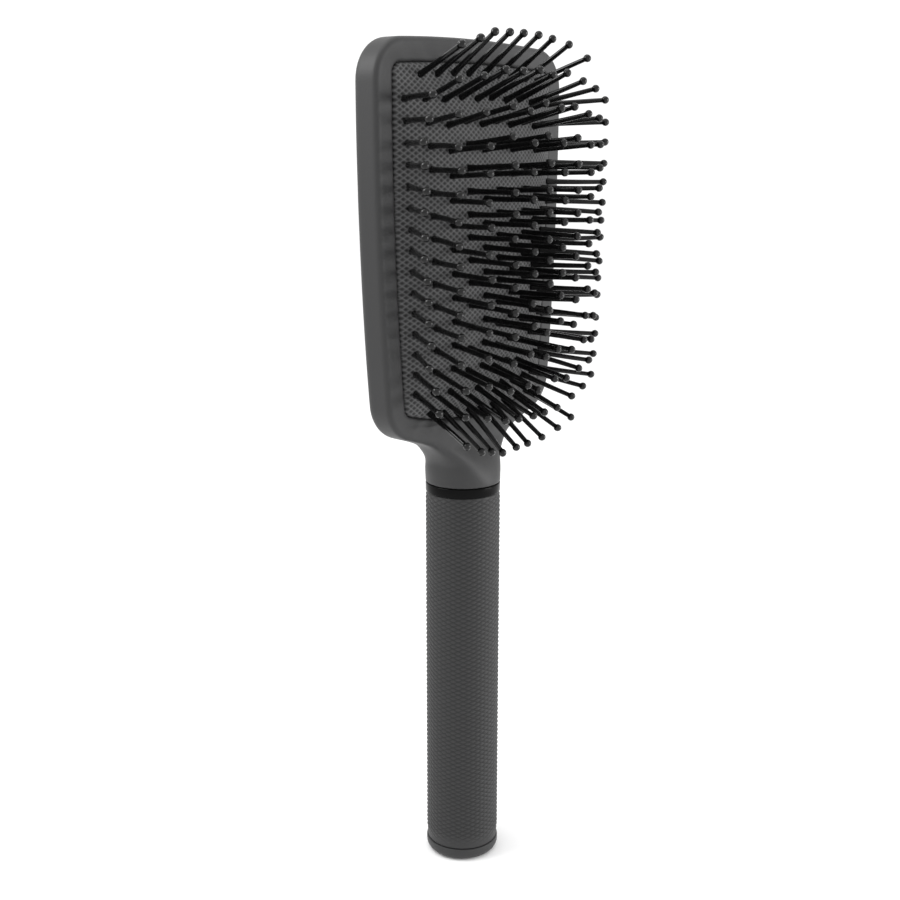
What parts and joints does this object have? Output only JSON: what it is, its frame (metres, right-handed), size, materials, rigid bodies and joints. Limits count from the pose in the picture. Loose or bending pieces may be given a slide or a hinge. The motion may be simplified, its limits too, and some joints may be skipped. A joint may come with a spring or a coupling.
{
  "type": "paddle hair brush",
  "caption": "Paddle hair brush with a flat rounded head, a domed rubber cushion of ball-tipped pins, and a straight round handle with a ribbed rubber grip.",
  "frame": {"origin": "middle of the flat underside of the end cap, on the handle's axis", "axes": "+Z along the handle's axis from the end cap to the head, -Y the way the pins face, +X to the right seen from the pins' side"},
  "size_m": [0.0876, 0.0427, 0.2529],
  "materials": {
    "soft_touch": "matte soft-touch",
    "inner_plastic": "matte",
    "cushion": "fine cross-hatched texture",
    "grip_rubber": "diamond ribbed",
    "gloss_ring": "polished",
    "pin_nylon": "glossy"
  },
  "bodies": {
    "brush": {"head_body": "soft_touch", "back_cover": "soft_touch", "clamp_frame": "inner_plastic", "cushion_rubber": "cushion", "collar_ring": "gloss_ring", "handle_core": "inner_plastic", "grip_sleeve": "grip_rubber", "end_cap": "soft_touch"},
    "crown_pins": {"pins_crown_upper": "pin_nylon", "pins_crown_middle": "pin_nylon", "pins_crown_lower": "pin_nylon"},
    "inner_pins": {"pins_inner_upper": "pin_nylon", "pins_inner_left": "pin_nylon", "pins_inner_right": "pin_nylon", "pins_inner_lower": "pin_nylon"},
    "middle_pins": {"pins_middle_upper": "pin_nylon", "pins_middle_left": "pin_nylon", "pins_middle_right": "pin_nylon", "pins_middle_lower": "pin_nylon"},
    "outer_pins": {"pins_outer_upper": "pin_nylon", "pins_outer_left": "pin_nylon", "pins_outer_right": "pin_nylon", "pins_outer_lower": "pin_nylon"},
    "edge_pins": {"pins_edge_upper": "pin_nylon", "pins_edge_left": "pin_nylon", "pins_edge_right": "pin_nylon", "pins_edge_lower": "pin_nylon"}
  },
  "joints": [
    {"name": "crown_press", "type": "slide", "parent": "brush", "child": "crown_pins", "axis": [0, 1, 0], "range_m": [0, 0.004], "stiffness_N_per_m": 2500, "deforming": ["cushion_rubber"]},
    {"name": "inner_press", "type": "slide", "parent": "brush", "child": "inner_pins", "axis": [0, 1, 0], "range_m": [0, 0.004]},
    {"name": "middle_press", "type": "slide", "parent": "brush", "child": "middle_pins", "axis": [0, 1, 0], "range_m": [0, 0.004]},
    {"name": "outer_press", "type": "slide", "parent": "brush", "child": "outer_pins", "axis": [0, 1, 0], "range_m": [0, 0.004]},
    {"name": "edge_press", "type": "slide", "parent": "brush", "child": "edge_pins", "axis": [0, 1, 0], "range_m": [0, 0.004]}
  ],
  "couplings": [
    {"joint": "inner_press", "follows": "crown_press", "ratio": 0.92},
    {"joint": "middle_press", "follows": "crown_press", "ratio": 0.72},
    {"joint": "outer_press", "follows": "crown_press", "ratio": 0.4},
    {"joint": "edge_press", "follows": "crown_press", "ratio": 0.1}
  ]
}
